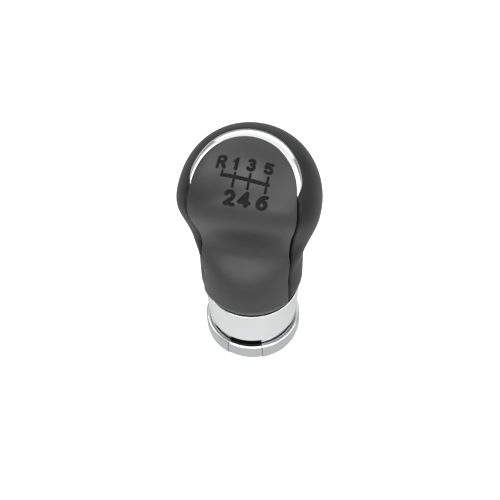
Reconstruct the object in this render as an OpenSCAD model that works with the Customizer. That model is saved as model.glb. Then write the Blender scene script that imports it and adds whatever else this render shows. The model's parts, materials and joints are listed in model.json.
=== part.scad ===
// Gear shift knob with a lift ring for the reverse lock-out.
// Millimetres. The origin is the mouth of the lever socket, in the plane of the collar's foot.
// +Z runs up the gear lever, the driver faces the knob from -Y.

/* [Grip form] */
// Height of the waist above the top of the core's tube
waist_rise = 9; // [7:0.2:12]
// Height of the head's widest place above the waist
head_rise = 13.7; // [12:0.1:16]
// Height of the crown above the head's widest place
crown_rise = 23.4; // [21:0.2:26]
// Half width of the head
head_half_w = 23.7; // [22.5:0.1:25]
// Reach of the head behind the lever axis
head_back = 24; // [22.5:0.1:25.5]
// How far the crown lies behind the lever axis
crown_back = 2.5; // [1:0.1:4]
// Reach of the chin in front of the lever axis
chin_reach = 17.2; // [16.4:0.1:19]
// Height of the chin above the head's widest place
chin_rise = 9.3; // [7:0.1:11]
// Reach of the waist in front of the lever axis
waist_reach = 10.8; // [10.4:0.1:12.5]
// How far the neck stands out over the band at both sides
neck_side_swell = 1.1; // [0.5:0.1:2]
// How far the neck stands out over the band at the back
neck_back_swell = 0.8; // [0.4:0.1:2]
// Height above the collar up to which the neck keeps its width
neck_up = 17.6; // [15:0.2:20]
// How far the bell stands out over the band at the front
bell_swell = 1.4; // [0.8:0.1:2.4]
// How strongly the steepest place between bell and waist lies towards the waist
bell_power = 1.8; // [1:0.1:2.2]
// Height of the bell's fullest place above the collar
bell_up = 6.1; // [5:0.1:8]
// How much squarer than an ellipse the front of the head is
front_square = 0.9; // [0:0.1:1.4]

/* [Cover, arch and shell] */
// Wall of the front cover and of the rear shell
shell_wall = 2; // [1.6:0.1:2.2]
// How far the front cover stands proud of the rear shell
cover_proud = 0.6; // [0.2:0.1:0.8]
// Depth to which the shell's rim rolls in beside the cover
rim_depth = 0.9; // [0.6:0.1:1.2]
// Rounding of the visible edges of cover and shell
edge_round = 0.6; // [0.3:0.1:0.8]
// Half angle of the cover round the neck, at the bell
cover_bell_angle = 53; // [50:0.5:57]
// Half angle of the cover round the neck, at the waist
cover_waist_angle = 56.5; // [53:0.5:60]
// Half angle of the cover at the head's widest place
cover_head_angle = 51.5; // [49:0.5:54]
// Tilt of the centre of the cover's round end above the horizontal
cover_tilt = 53; // [51:0.5:55]
// Angle from that centre to the cover's edge
cover_spread = 45; // [43:0.5:46]
// Corner radius of the cover's lower end
cover_corner = 3.5; // [2:0.5:6]
// Height over which the lower end of cover and shell rounds in
hem_h = 5; // [3:0.5:7]
// How far the lower end of cover and shell rounds in
hem_depth = 1.2; // [0.6:0.1:1.4]
// Tilt of the centre of the arch above the horizontal
arch_tilt = 60; // [59:0.5:61]
// Angle from that centre to the arch's outer edge
arch_spread = 51; // [50:0.5:52]
// Thickness of the arch's flange
arch_t = 1.2; // [0.8:0.1:1.6]
// Crown of the arch over its width
arch_crown = 0.35; // [0:0.05:0.6]
// Angle that the arch's flange reaches under the rear shell
arch_grip_angle = 5; // [3:0.5:6]

/* [Collar] */
// Height of the band
band_h = 15.4; // [13:0.2:18]
// How far the band stands out over the throat at its lower edge
band_step = 1.2; // [0.9:0.1:1.6]
// How much wider the band is at its upper edge
band_flare = 0.6; // [0.2:0.1:1]
// Wall of the band
band_wall = 0.9; // [0.8:0.05:1]
// Wall of the throat between band and ring
throat_wall = 1; // [0.8:0.1:1.2]
// Half angle of the window in the throat, behind the pull panel
window_angle = 22; // [18:1:26]
// Wall of the moulded carrier inside the throat
carrier_wall = 2.1; // [1.8:0.1:2.6]
// Height of the rubber seal between band and grip
seal_h = 1.1; // [0.8:0.1:1.6]
// How far the seal stays back from the band's edge
seal_inset = 1.1; // [0.5:0.1:1.4]
// Thickness of the band's inner lip
lip_t = 1; // [0.8:0.1:1.4]

/* [Lift ring] */
// Height of the ring
ring_h = 7; // [6.6:0.1:9]
// Wall of the ring
ring_wall = 1.95; // [1.6:0.05:2.4]
// Gap between the throat and the ring
ring_gap = 0.45; // [0.35:0.05:0.6]
// Stroke of the ring
lift_travel = 2.8; // [2:0.1:3]
// Half angle of the pull panel
panel_angle = 20.9; // [16:0.1:26]
// Depth of the finger scoop in the panel
scoop_depth = 0.6; // [0.3:0.1:0.9]
// Radius of the finger scoop
scoop_r = 4; // [3:0.1:6]
// Thickness of the slider's flange
flange_t = 1.2; // [1:0.1:1.4]
// Height of the slider's hub
hub_h = 10.9; // [9:0.1:12]
// Wall of the slider's hub
hub_wall = 1.3; // [1:0.05:1.6]

/* [Lever socket] */
// Diameter of the gear lever's end
lever_d = 12; // [10:0.5:12]
// Depth of the socket
socket_depth = 42; // [34:1:42]
// Wall of the metal sleeve
sleeve_wall = 1.4; // [1:0.1:1.4]
// Thickness of the sleeve's closed end
sleeve_cap = 2; // [1:0.1:2.4]
// Thickness of the rubber round the sleeve
damper_t = 1; // [0.6:0.1:1]
// Wall of the core's tube
tube_wall = 1.4; // [1.2:0.1:1.6]
// Thickness of the tube's closed top
tube_cap = 2.5; // [1.5:0.1:3]
// Height of the grooves from the ends of the sleeve's bore
groove_up = 10; // [6:0.5:12]
// Width of the grooves
groove_w = 2; // [1:0.1:3]
// Depth of the grooves
groove_depth = 0.3; // [0.2:0.05:0.5]

/* [Core] */
// Thickness of the core's upright plate
plate_t = 4; // [3:0.5:5]
// How far the plate's front lies behind the lever axis
plate_back = 2; // [1:0.5:3]
// Room between the plate's outline and the shells
plate_margin = 2.2; // [1.8:0.1:3]
// Thickness of the core's flange
core_flange_t = 2.5; // [2:0.1:3]
// Width of the front rest between tube and cover
rest_w = 4; // [3:0.5:6]
// Height of the front rest
rest_h = 6; // [4:0.5:8]

/* [Fasteners and spring] */
// Diameter of the shell screws
shell_screw_d = 2.5; // [2:0.1:3]
// Length of thread that a shell screw has in its boss
shell_screw_bite = 8; // [6:0.5:10]
// Height of the lower shell screw above the core's tube
low_screw_rise = 3.9; // [3.4:0.1:5]
// Diameter of the shell bosses
boss_d = 5.6; // [5:0.2:6]
// Diameter of the cover posts
post_d = 5; // [4.4:0.2:6]
// Diameter of the stud at a cover post's end
stud_d = 2.6; // [2:0.1:3]
// Distance of the cover posts from the middle
post_x = 10; // [8:0.5:12]
// Height of the cover posts above the head's widest place
post_rise = 4.8; // [4:0.2:6]
// Diameter of the collar screws
collar_screw_d = 2; // [1.6:0.1:2.2]
// Length of thread that a collar screw has in the carrier
collar_screw_bite = 7.5; // [5:0.5:9]
// Land between a collar screw and the carrier's bore
screw_land = 0.2; // [0.15:0.05:0.4]
// Number of collar screws
collar_screws_n = 3; // [3:1:4]
// Diameter of the spring wire
wire_d = 1; // [0.7:0.1:1]
// Turns of the spring
spring_turns = 5; // [4:1:6]
// Thickness of the spring's washer
seat_t = 0.8; // [0.5:0.1:1]
// Thickness of the retaining clip
clip_t = 0.7; // [0.5:0.1:0.8]
// Thickness of the rubber bumper
bumper_t = 1.2; // [0.8:0.1:1.4]
// Width of the guide keys
key_w = 2; // [1.6:0.1:2.6]

/* [Clearances] */
// Seam between two visible pieces
seam = 0.2; // [0.15:0.05:0.3]
// Gap between pieces that seat on each other
seat_gap = 0.1; // [0.05:0.05:0.15]
// Gap between pieces that slide past each other
slide_gap = 0.3; // [0.25:0.05:0.35]
// Gap round the slider's hub
hub_gap = 0.4; // [0.3:0.05:0.5]
// Slack of a screw in its hole
hole_slack = 0.1; // [0.05:0.05:0.2]
// Gap left above the ring at the end of its stroke
stroke_gap = 0.2; // [0.1:0.05:0.3]

/* [Hidden] */
$fn = 96;
eps = 0.01;

// Radii from the lever outwards
lever_r = lever_d / 2;
sleeve_r = lever_r + sleeve_wall;
damper_r = sleeve_r + seat_gap + damper_t;
tube_in_r = damper_r + seat_gap;
tube_r = tube_in_r + tube_wall;
bush_r = tube_r + slide_gap;
hub_r = bush_r + hub_wall;
carrier_r = hub_r + hub_gap;
throat_in_r = carrier_r + carrier_wall + seat_gap;
throat_r = throat_in_r + throat_wall;
band_low_r = throat_r + band_step;
band_top_r = band_low_r + band_flare;
ring_in_r = throat_r + ring_gap;
ring_r = ring_in_r + ring_wall;
neck_half_w = band_top_r + neck_side_swell;
neck_back = band_top_r + neck_back_swell;
bell_reach = band_top_r + bell_swell;
collar_reach = band_top_r + seam / 2;

// Heights of the collar
band_z0 = ring_h + lift_travel + stroke_gap;
collar_top = band_z0 + band_h;
lip_z = collar_top - lip_t;
shell_z0 = collar_top + seal_h + seat_gap;

// Heights of the socket and the grip
sleeve_top = socket_depth + sleeve_cap;
tube_top = sleeve_top + tube_cap;
bell_z = collar_top + bell_up;
neck_z = collar_top + neck_up;
waist_z = tube_top + waist_rise;
head_z = waist_z + head_rise;
chin_z = head_z + chin_rise;
crown_z = head_z + crown_rise;

// The front is squarer than an ellipse between these heights
square_from = neck_z - 3;
square_full = waist_z;
square_keep = head_z + 3;
square_end = crown_z - 3;

// Lift mechanism
clip_z = 0.25;
hub_z0 = clip_z + clip_t + 0.15;
flange_top = hub_z0 + flange_t;
hub_top = hub_z0 + hub_h;
flange_r = ring_in_r - 0.15;
ledge_z0 = flange_top + seat_gap;
ledge_z1 = ledge_z0 + 1;
ledge_r = ring_in_r - 1.05;
throat_z = ledge_z1 + lift_travel + slide_gap;
bumper_z = flange_top + lift_travel + stroke_gap;
carrier_z = bumper_z + bumper_t + seat_gap;
seat_z1 = collar_top - seat_gap;
seat_z0 = seat_z1 - seat_t;
spring_r = tube_r + 0.4 + wire_d / 2;
spring_z0 = hub_top + seat_gap + wire_d / 2;
spring_z1 = seat_z0 - seat_gap - wire_d / 2;

// Core and its fasteners
core_z0 = collar_top + seat_gap / 2;
plate_y0 = plate_back;
plate_y1 = plate_back + plate_t;
low_screw_z = tube_top + low_screw_rise;
high_screw_z = head_z;
post_z = head_z + post_rise;
collar_screw_r = carrier_r + collar_screw_d / 2 + screw_land;
collar_head_r = collar_screw_d * 0.8;
collar_head_h = collar_screw_d * 0.55;
core_flange_r = collar_screw_r + collar_head_r;
shell_head_r = shell_screw_d * 0.92;
shell_head_h = shell_screw_d * 0.72;

// Shift a value smoothly from v0 at z0 to v1 at z1
function clamp01(t) = min(1, max(0, t));
function ease(t) = t * t * (3 - 2 * t);
function between(z, z0, v0, z1, v1) = v0 + (v1 - v0) * ease(clamp01((z - z0) / (z1 - z0)));

// The same, with the steepest place drawn towards z1
function skewed(z, z0, v0, z1, v1, power) =
    v0 + (v1 - v0) * ease(pow(clamp01((z - z0) / (z1 - z0)), power));

// Quarter ellipse that closes a profile at the crown
function dome(z, z0, v0, z1, v1) = v1 + (v0 - v1) * sqrt(max(0, 1 - pow((z - z0) / (z1 - z0), 2)));

// Reach of the grip to the front, back and side at height z, d below its surface
function front_reach(z, d) =
    z < bell_z ? between(z, collar_top, collar_reach, bell_z, bell_reach) - d
    : z < waist_z ? skewed(z, bell_z, bell_reach, waist_z, waist_reach, bell_power) - d
    : z < chin_z ? between(z, waist_z, waist_reach, chin_z, chin_reach) - d
    : dome(z, chin_z, chin_reach - d, crown_z - d, -crown_back);
function back_reach(z, d) =
    z < bell_z ? between(z, collar_top, collar_reach, bell_z, neck_back) - d
    : z < head_z ? between(z, neck_z, neck_back, head_z, head_back) - d
    : dome(z, head_z, head_back - d, crown_z - d, crown_back);
function side_reach(z, d) =
    z < bell_z ? between(z, collar_top, collar_reach, bell_z, neck_half_w) - d
    : z < head_z ? between(z, neck_z, neck_half_w, head_z, head_half_w) - d
    : dome(z, head_z, head_half_w - d, crown_z - d, 0);
function hem(z) =
    let (t = clamp01((shell_z0 + hem_h - z) / hem_h)) hem_depth * (1 - sqrt(1 - t * t));
function middle_y(z) = between(z, head_z, 0, crown_z, crown_back);
function front_power(z) =
    2 + front_square * between(z, square_from, 0, square_full, 1) * between(z, square_keep, 1, square_end, 0);

// Point on the horizontal section at height z, at angle w from the front
function slice_point(z, w, d) =
    let (front = cos(w) >= 0,
         n = front ? front_power(z) : 2,
         b = front ? front_reach(z, d) + middle_y(z) : back_reach(z, d) - middle_y(z),
         r = pow(pow(abs(sin(w)) / side_reach(z, d), n) + pow(abs(cos(w)) / b, n), -1 / n))
    [r * sin(w), middle_y(z) - r * cos(w), z];

// Front surface at lateral place x and height z
function front_y(x, z, d) =
    let (n = front_power(z))
    middle_y(z) - (front_reach(z, d) + middle_y(z))
        * pow(1 - pow(abs(x) / side_reach(z, d), n), 1 / n);

// True while a point lies under the surface
function inside(p, d) =
    p.z >= crown_z - d ? false
    : let (front = p.y <= middle_y(p.z),
           n = front ? front_power(p.z) : 2,
           b = front ? front_reach(p.z, d) + middle_y(p.z) : back_reach(p.z, d) - middle_y(p.z))
      pow(abs(p.x) / side_reach(p.z, d), n) + pow(abs(p.y - middle_y(p.z)) / b, n) < 1;

// The surface along a ray from the head's centre, found by halving
head_centre = [0, 0, head_z];
function aim(e, w) = [sin(w), -cos(w) * cos(e), cos(w) * sin(e)];
function ray_reach(v, d, near = 8, far = 32, left = 15) =
    let (mid = (near + far) / 2)
    left == 0 ? mid
    : inside(head_centre + mid * v, d) ? ray_reach(v, d, mid, far, left - 1)
    : ray_reach(v, d, near, mid, left - 1);
function ray_point(v, d) = head_centre + ray_reach(v, d) * v;

// A point of the surface, moved d under it
function turn_of(p) = atan2(p.x, middle_y(p.z) - p.y);
function unit(v) = v / norm(v);
function sunk(p, d) =
    d == 0 ? p
    : p.z <= head_z + eps ? slice_point(p.z, turn_of(p), d)
    : ray_point(unit(p - head_centre), d);

// The cover's edge: half angle round the neck, and round the head at elevation e
function corner_cut(z) =
    z > shell_z0 + cover_corner ? 0
    : (1 - sqrt(max(0, 1 - pow((shell_z0 + cover_corner - z) / cover_corner, 2))))
        * cover_corner / neck_half_w * 180 / PI;
function seam_turn_at(z) =
    z < waist_z ? between(z, bell_z, cover_bell_angle, waist_z, cover_waist_angle)
    : between(z, waist_z, cover_waist_angle, head_z, cover_head_angle);
function cover_turn(z) = seam_turn_at(z) - corner_cut(z);
function cover_lean(e) =
    e < cover_tilt ? cover_head_angle + (cover_spread - cover_head_angle) * e / cover_tilt
    : acos(min(1, cos(cover_spread) / cos(e - cover_tilt)));
seam_angle = seam / head_half_w * 180 / PI;

// Places on the head, fanned out round one direction: turn b from straight up, lean t from the centre
fan_tilt = 56;
fan_end = 92;

// The arch keeps its width up to this turn, and ends with this share of it
arch_full = 74;
tip_share = 0.3;
function fan(b, t) =
    cos(t) * [0, -cos(fan_tilt), sin(fan_tilt)]
    + sin(t) * (cos(b) * [0, sin(fan_tilt), cos(fan_tilt)] + sin(b) * [1, 0, 0]);
function fan_lean(b, tilt, spread) =
    let (across = cos(tilt - fan_tilt), along = sin(tilt - fan_tilt) * cos(b))
    atan2(along, across) + acos(cos(spread) / norm([across, along]));
function cover_fan(b) = fan_lean(b, cover_tilt, cover_spread);
function arch_fan(b) =
    let (t = clamp01((abs(b) - arch_full) / (fan_end - arch_full)),
         wide = tip_share + (1 - tip_share) * (1 - t * t))
    cover_fan(b) + (fan_lean(b, arch_tilt, arch_spread) - cover_fan(b)) * wide;

// A closed slab between two grids of points
module slab(outer, inner) {
    rows = len(outer);
    cols = len(outer[0]);
    n = rows * cols;
    points = concat([for (row = outer) each row], [for (row = inner) each row]);
    function at(r, c) = r * cols + c;
    faces = concat(
        [for (r = [0:rows - 2], c = [0:cols - 2]) each
            [[at(r, c), at(r + 1, c), at(r + 1, c + 1)], [at(r, c), at(r + 1, c + 1), at(r, c + 1)]]],
        [for (r = [0:rows - 2], c = [0:cols - 2]) each
            [[n + at(r, c), n + at(r + 1, c + 1), n + at(r + 1, c)],
             [n + at(r, c), n + at(r, c + 1), n + at(r + 1, c + 1)]]],
        [for (c = [0:cols - 2]) each
            [[at(0, c), at(0, c + 1), n + at(0, c + 1)], [at(0, c), n + at(0, c + 1), n + at(0, c)]]],
        [for (c = [0:cols - 2]) each
            [[at(rows - 1, c), n + at(rows - 1, c), n + at(rows - 1, c + 1)],
             [at(rows - 1, c), n + at(rows - 1, c + 1), at(rows - 1, c + 1)]]],
        [for (r = [0:rows - 2]) each
            [[at(r, 0), n + at(r, 0), n + at(r + 1, 0)], [at(r, 0), n + at(r + 1, 0), at(r + 1, 0)]]],
        [for (r = [0:rows - 2]) each
            [[at(r, cols - 1), at(r + 1, cols - 1), n + at(r + 1, cols - 1)],
             [at(r, cols - 1), n + at(r + 1, cols - 1), n + at(r, cols - 1)]]]);
    polyhedron(points, faces, convexity = 8);
}

// Heights of the rows up the neck, closer together in the rounded lower end
function neck_row_z(k, n) =
    k < 3 ? shell_z0 + hem_h * [0, 0.07, 0.25][k]
    : shell_z0 + hem_h / 2 + (head_z - shell_z0 - hem_h / 2) * (k - 3) / (n - 3);

// Depth of a rounded edge, for place k of n along a grid
function edge_drop(k, n) = k == 0 || k == n ? edge_round : k == 1 || k == n - 1 ? edge_round / 8 : 0;

// Spread of the columns, closer together at both edges
function spread_at(k, n) =
    let (t = 2 * k / n - 1)
    t * (1.3 - 0.3 * t * t);

// Cylinder between two points
module rod(a, b, r) {
    v = b - a;
    translate(a) rotate([0, acos(v.z / norm(v)), atan2(v.y, v.x)]) cylinder(h = norm(v), r = r);
}

// Front cover: rows up the neck and over the head, columns across
cover_cols = 20;
neck_rows = 18;
head_rows = 8;
crown_rows = 9;
cover_rows = concat(
    [for (k = [0:neck_rows]) [0, neck_row_z(k, neck_rows)]],
    [for (k = [1:head_rows]) [1, cover_tilt * k / head_rows]],
    [for (k = [1:crown_rows]) [1, cover_tilt + cover_spread * sin(84 * k / crown_rows)]]);
function cover_point(row, u) =
    row[0] == 0 ? slice_point(row[1], u * cover_turn(row[1]), 0)
    : ray_point(aim(row[1], u * cover_lean(row[1])), 0);
module front_cover() {
    last = len(cover_rows) - 1;
    skin = [for (r = [0:last]) [for (c = [0:cover_cols]) cover_point(cover_rows[r], spread_at(c, cover_cols))]];
    outer = [for (r = [0:last]) [for (c = [0:cover_cols])
        sunk(skin[r][c], max(r > 1 ? edge_drop(r, last) : 0, edge_drop(c, cover_cols), hem(skin[r][c].z))
            - cover_proud)]];
    inner = [for (row = skin) [for (p = row) sunk(p, shell_wall)]];
    color("dimgray") {
        slab(outer, inner);
        for (x = [-post_x, post_x]) {
            start = [x, front_y(x, post_z, shell_wall / 2), post_z];
            rod(start, [x, plate_y0 - seat_gap, post_z], post_d / 2);
            rod(start, [x, plate_y1 - seat_gap, post_z], stud_d / 2);
        }
    }
}

// Rear shell: each row is a level section from the right rim round the back to the left rim
back_cols = 24;
rim_arch_rows = 14;
rim_head_rows = 7;
rim_neck_rows = 14;
rim = concat(
    [for (k = [0:rim_neck_rows])
        let (z = neck_row_z(k, rim_neck_rows))
        slice_point(z, seam_turn_at(z) + seam_angle, 0)],
    [for (k = [1:rim_head_rows])
        let (e = (cover_tilt - 4) * k / rim_head_rows)
        ray_point(aim(e, cover_lean(e) + seam_angle), 0)],
    [for (k = [rim_arch_rows:-1:0])
        let (b = 6 + (fan_end - 6) * k / rim_arch_rows) ray_point(fan(b, arch_fan(b)), 0)]);
function back_row(p) =
    let (w = turn_of(p), around = 360 - 2 * w)
    [for (c = [0:back_cols]) slice_point(p.z, w + around * (1 + spread_at(c, back_cols)) / 2, 0)];
function rim_drop(r, c) = (c == 0 || c == back_cols) && r <= rim_neck_rows + rim_head_rows ? rim_depth : 0;
module rear_shell() {
    last = len(rim) - 1;
    skin = [for (k = [0:last]) back_row(rim[k])];
    outer = [for (r = [0:last]) [for (c = [0:back_cols])
        sunk(skin[r][c], max(r > 1 ? edge_drop(r, last) : 0, edge_drop(c, back_cols), rim_drop(r, c),
            hem(skin[r][c].z)))]];
    inner = [for (row = skin) [for (p = row) sunk(p, shell_wall)]];
    color("#2b2b2d") difference() {
        union() {
            slab(outer, inner);
            for (z = [low_screw_z, high_screw_z]) {
                rod([0, plate_y1 + seat_gap, z], [0, back_reach(z, shell_wall / 2), z], boss_d / 2);
            }
        }
        for (z = [low_screw_z, high_screw_z]) {
            rod([0, plate_y1, z], [0, plate_y1 + shell_screw_bite + 1, z], shell_screw_d / 2 + hole_slack);
        }
    }
}

// Bright arch: a crowned crescent, with a flange that grips under the rear shell's rim
arch_steps = 32;
arch_cols = 4;
arch_under = shell_wall + 2 * seat_gap;
function arch_ring(b) =
    let (t0 = cover_fan(b) + seam_angle, t1 = arch_fan(b) - seam_angle, t2 = t1 + arch_grip_angle)
    concat(
        [for (c = [0:arch_cols]) let (u = 2 * c / arch_cols - 1)
            ray_point(fan(b, (t0 + t1 + u * (t1 - t0)) / 2), arch_crown * (u * u - 0.5))],
        [ray_point(fan(b, t1), arch_under), ray_point(fan(b, t2), arch_under),
         ray_point(fan(b, t2), arch_under + arch_t), ray_point(fan(b, t0), arch_under + arch_t)]);
module arch_trim() {
    rings = [for (k = [0:arch_steps]) arch_ring(fan_end * (1 - 2 * k / arch_steps))];
    sides = len(rings[0]);
    function at(k, s) = k * sides + s % sides;
    faces = concat(
        [for (k = [0:arch_steps - 1], s = [0:sides - 1]) each
            [[at(k, s), at(k + 1, s), at(k + 1, s + 1)], [at(k, s), at(k + 1, s + 1), at(k, s + 1)]]],
        [[for (s = [0:sides - 1]) at(0, s)]],
        [[for (s = [sides - 1:-1:0]) at(arch_steps, s)]]);
    color("gainsboro") polyhedron([for (ring = rings) each ring], faces, convexity = 8);
}

// Core: tube for the lever, flange on the collar, upright plate for the shells
plate_side = shell_wall + plate_margin;
plate_z1 = crown_z - plate_side - 3;
plate_steps = 20;
module core_plate() {
    z0 = core_z0;
    edge = [for (k = [0:plate_steps]) let (z = z0 + (plate_z1 - z0) * k / plate_steps)
        [side_reach(z, plate_side), z]];
    mirrored = [for (k = [plate_steps:-1:0]) [-edge[k].x, edge[k].y]];
    translate([0, plate_y1, 0]) rotate([90, 0, 0]) linear_extrude(plate_t) polygon(concat(edge, mirrored));
}
module keys(w, r) {
    intersection() {
        for (a = [0, 180]) rotate(a) translate([0, -w / 2, 0]) cube([r, w, hub_z0 + hub_h * 0.8]);
        cylinder(h = hub_top, r = r);
    }
}
module grip_core() {
    color("#3a3a3c")
    difference() {
        union() {
            cylinder(h = tube_top, r = tube_r);
            translate([0, 0, core_z0]) cylinder(h = core_flange_t, r = core_flange_r);
            translate([0, 0, flange_top + 1]) intersection() {
                keys(key_w, tube_r + 0.9);
                cylinder(h = hub_h * 0.6, r = tube_r + 1);
            }
            core_plate();
            front = front_reach(bell_z + rest_h / 2, shell_wall + seat_gap);
            translate([-rest_w / 2, -front, bell_z]) cube([rest_w, front - tube_in_r, rest_h]);
        }
        translate([0, 0, -1]) cylinder(h = sleeve_top + 1 + 2 * seat_gap, r = tube_in_r);
        difference() {
            translate([0, 0, clip_z - seat_gap]) cylinder(h = clip_t + 2 * seat_gap, r = tube_r + 1);
            cylinder(h = hub_z0, r = tube_r - 0.4);
        }
        for (z = [low_screw_z, high_screw_z]) {
            rod([0, plate_y0 - 1, z], [0, plate_y1 + 1, z], shell_screw_d / 2 + 2 * hole_slack);
        }
        for (x = [-post_x, post_x]) {
            rod([x, plate_y0 - 1, post_z], [x, plate_y1 + 1, post_z], stud_d / 2 + hole_slack);
            rod([x, plate_y0 - 1, waist_z + 2], [x, plate_y1 + 1, waist_z + 2], 4);
        }
        collar_screw_places() cylinder(h = core_flange_t + 6, r = collar_screw_d / 2 + hole_slack);
        collar_screw_places(core_z0 + core_flange_t) cylinder(h = 2 * collar_head_h, r = collar_head_r + 2 * hole_slack);
    }
}
module collar_screw_places(z = core_z0 - 4) {
    for (k = [0:collar_screws_n - 1]) rotate(360 * k / collar_screws_n - 90) translate([collar_screw_r, 0, z]) children();
}

// Metal sleeve that takes the lever, with a grooved outside and a chamfered mouth
module lever_insert() {
    chamfer = sleeve_wall * 0.35;
    groove_r = sleeve_r - groove_depth;
    low = groove_up;
    high = socket_depth - groove_up - groove_w;
    color("silver") rotate_extrude() polygon(concat(
        [[lever_r + chamfer, 0], [sleeve_r, 0]],
        [for (z = [low, high]) each [[sleeve_r, z], [groove_r, z], [groove_r, z + groove_w], [sleeve_r, z + groove_w]]],
        [[sleeve_r, sleeve_top - chamfer], [sleeve_r - chamfer, sleeve_top], [0, sleeve_top],
         [0, socket_depth], [lever_r, socket_depth], [lever_r, chamfer]]));
}

// Rubber between sleeve and core, which keeps the gearbox's buzz out of the hand
module damper_sleeve() {
    color("#1d1d1d") difference() {
        translate([0, 0, 0.6]) cylinder(h = socket_depth - 1, r = damper_r);
        cylinder(h = socket_depth, r = sleeve_r + seat_gap);
    }
}

// Screws through the core's plate into the rear shell's bosses
module shell_screw(z) {
    head_r = shell_head_r;
    head_h = shell_head_h;
    color("silver") difference() {
        union() {
            rod([0, plate_y0 - seat_gap - head_h, z], [0, plate_y0 - seat_gap, z], head_r);
            rod([0, plate_y0 - seat_gap - eps, z], [0, plate_y1 + shell_screw_bite, z], shell_screw_d / 2);
        }
        translate([0, plate_y0 - seat_gap - head_h, z]) {
            cube([head_r * 1.3, head_h * 0.9, head_r * 0.22], center = true);
            cube([head_r * 0.22, head_h * 0.9, head_r * 1.3], center = true);
        }
    }
}
module upper_shell_screw() {
    shell_screw(high_screw_z);
}
module lower_shell_screw() {
    shell_screw(low_screw_z);
}

// Rubber ring in the dark joint between band and grip
module neck_seal() {
    color("#141414") translate([0, 0, collar_top + seat_gap / 2]) difference() {
        cylinder(h = seal_h, r = band_top_r - seal_inset);
        translate([0, 0, -1]) cylinder(h = seal_h + 2, r = core_flange_r + seat_gap);
    }
}

// Bright collar: band with a rolled rim, and the narrower throat that the ring slides over
module collar_band() {
    rim_r = 0.6;
    inner_r = band_low_r - band_wall;
    color("gainsboro") difference() {
        rotate_extrude() polygon(concat(
            [[throat_r, throat_z], [throat_r, band_z0], [band_low_r - 0.3, band_z0],
             [band_low_r, band_z0 + 0.4]],
            [for (a = [0:15:90]) [band_top_r - rim_r + rim_r * cos(a), collar_top - rim_r + rim_r * sin(a)]],
            [[carrier_r, collar_top], [carrier_r, lip_z], [inner_r, lip_z], [inner_r, band_z0 + 1],
             [throat_in_r, band_z0 + 1], [throat_in_r, throat_z]]));
        collar_screw_places(lip_z - 1) cylinder(h = 4, r = collar_screw_d / 2 + hole_slack);
        rotate(-90 - window_angle) rotate_extrude(angle = 2 * window_angle)
            translate([throat_in_r - 1, throat_z - 1]) square([throat_wall + 2, band_z0 - throat_z + 1]);
    }
}

// Moulded ring inside the band
module band_carrier() {
    low_r = throat_in_r - seat_gap;
    high_r = band_low_r - band_wall - seat_gap;
    step_z = band_z0 + 1 + seat_gap;
    color("#3a3a3c") difference() {
        rotate_extrude() polygon([
            [carrier_r, carrier_z], [low_r, carrier_z], [low_r, step_z], [high_r, step_z],
            [high_r, lip_z - seat_gap], [carrier_r, lip_z - seat_gap]]);
        collar_screw_places(lip_z - collar_screw_bite - 1)
            cylinder(h = collar_screw_bite + 3, r = collar_screw_d / 2 + hole_slack);
    }
}

// Screws that clamp the band between core and carrier
module collar_screws() {
    tip_z = lip_z - seat_gap - collar_screw_bite;
    length = core_z0 + core_flange_t + seat_gap - tip_z;
    slot = collar_screw_d * 0.2;
    color("silver") collar_screw_places(tip_z) {
        cylinder(h = length + eps, r = collar_screw_d / 2);
        translate([0, 0, length]) difference() {
            cylinder(h = collar_head_h, r = collar_head_r);
            translate([-collar_head_r, -slot / 2, collar_head_h * 0.5]) cube([2 * collar_head_r, slot, collar_head_h]);
        }
    }
}

// Washer over the spring
module spring_seat() {
    color("silver") translate([0, 0, seat_z0]) difference() {
        cylinder(h = seat_t, r = carrier_r - 0.15);
        translate([0, 0, -1]) cylinder(h = seat_t + 2, r = tube_r + 0.15);
    }
}

// Spring that pushes the ring down, with closed ends
spring_sides = 6;
spring_steps = 16;
function spring_height(t) = spring_z0 + (spring_z1 - spring_z0) * ease(clamp01((t * 1.1) - 0.05));
module return_spring() {
    last = spring_turns * spring_steps;
    points = [for (k = [0:last], s = [0:spring_sides - 1])
        let (a = 360 * k / spring_steps, b = 360 * s / spring_sides, r = spring_r + wire_d / 2 * cos(b))
        [r * cos(a), r * sin(a), spring_height(k / last) + wire_d / 2 * sin(b)]];
    function at(k, s) = k * spring_sides + s % spring_sides;
    faces = concat(
        [for (k = [0:last - 1], s = [0:spring_sides - 1]) each
            [[at(k, s), at(k, s + 1), at(k + 1, s + 1)], [at(k, s), at(k + 1, s + 1), at(k + 1, s)]]],
        [[for (s = [spring_sides - 1:-1:0]) at(0, s)]],
        [[for (s = [0:spring_sides - 1]) at(last, s)]]);
    color("silver") polyhedron(points, faces, convexity = 8);
}

// Rubber that ends the upward stroke quietly
module stop_bumper() {
    color("#141414") translate([0, 0, bumper_z]) difference() {
        cylinder(h = bumper_t, r = throat_in_r - 0.2);
        translate([0, 0, -1]) cylinder(h = bumper_t + 2, r = carrier_r + 0.2);
    }
}

// Slider that runs on the core's tube and carries ring and panel
module lift_sleeve() {
    color("#3a3a3c") difference() {
        union() {
            translate([0, 0, hub_z0]) cylinder(h = hub_h, r = hub_r);
            translate([0, 0, hub_z0]) cylinder(h = flange_t, r = flange_r);
        }
        translate([0, 0, -1]) cylinder(h = hub_top + 2, r = bush_r);
        translate([0, 0, -1]) intersection() {
            cylinder(h = hub_top + 2, r = tube_r + 1.2);
            translate([-hub_r, -key_w / 2 - slide_gap, 0]) cube([2 * hub_r, key_w + 2 * slide_gap, hub_top + 2]);
        }
    }
}

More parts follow.
